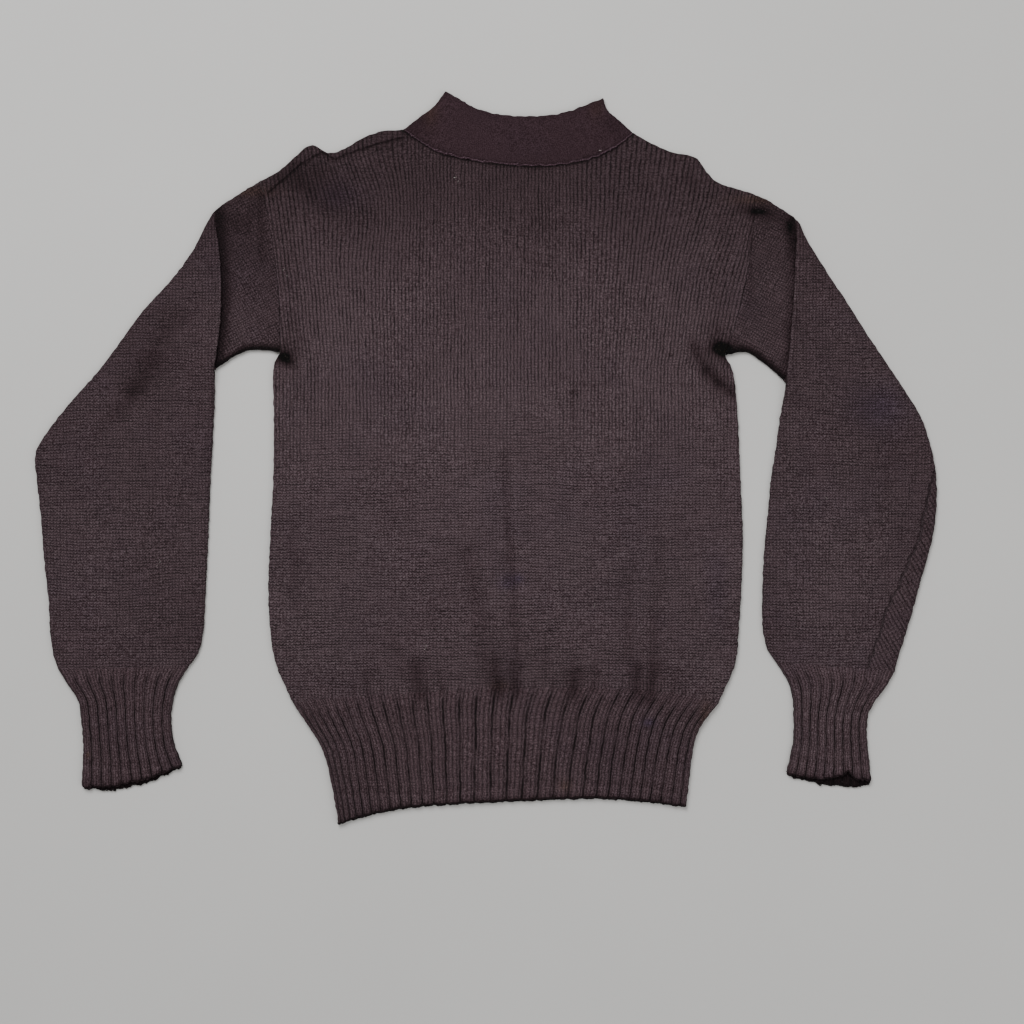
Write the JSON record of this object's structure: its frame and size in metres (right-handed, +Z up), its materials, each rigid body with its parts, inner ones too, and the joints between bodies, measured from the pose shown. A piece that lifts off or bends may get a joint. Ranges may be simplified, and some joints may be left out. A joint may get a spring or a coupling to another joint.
{
  "type": "mock neck sweater",
  "caption": "Plain knitted wool mock neck sweater laid flat, with long sleeves turned down at its sides and deep ribbed cuffs and hem.",
  "frame": {"origin": "on the surface the sweater lies on, under the middle of its outline", "axes": "+Z up off the surface, +Y towards the neck, +X to the right as seen from above with the neck at the top"},
  "size_m": [0.902, 0.732, 0.0083],
  "materials": {
    "body_wool": "plain wool knit, matt",
    "sleeve_wool": "plain wool knit, matt",
    "band_wool": "fine smooth knit, matt",
    "rib_wool": "ribbed wool knit, matt"
  },
  "bodies": {
    "root": {"front": "body_wool", "back": "body_wool", "sleeve_left": "sleeve_wool", "sleeve_right": "sleeve_wool", "neck_band": "band_wool", "hem_rib": "rib_wool", "cuff_left": "rib_wool", "cuff_right": "rib_wool"}
  },
  "joints": []
}
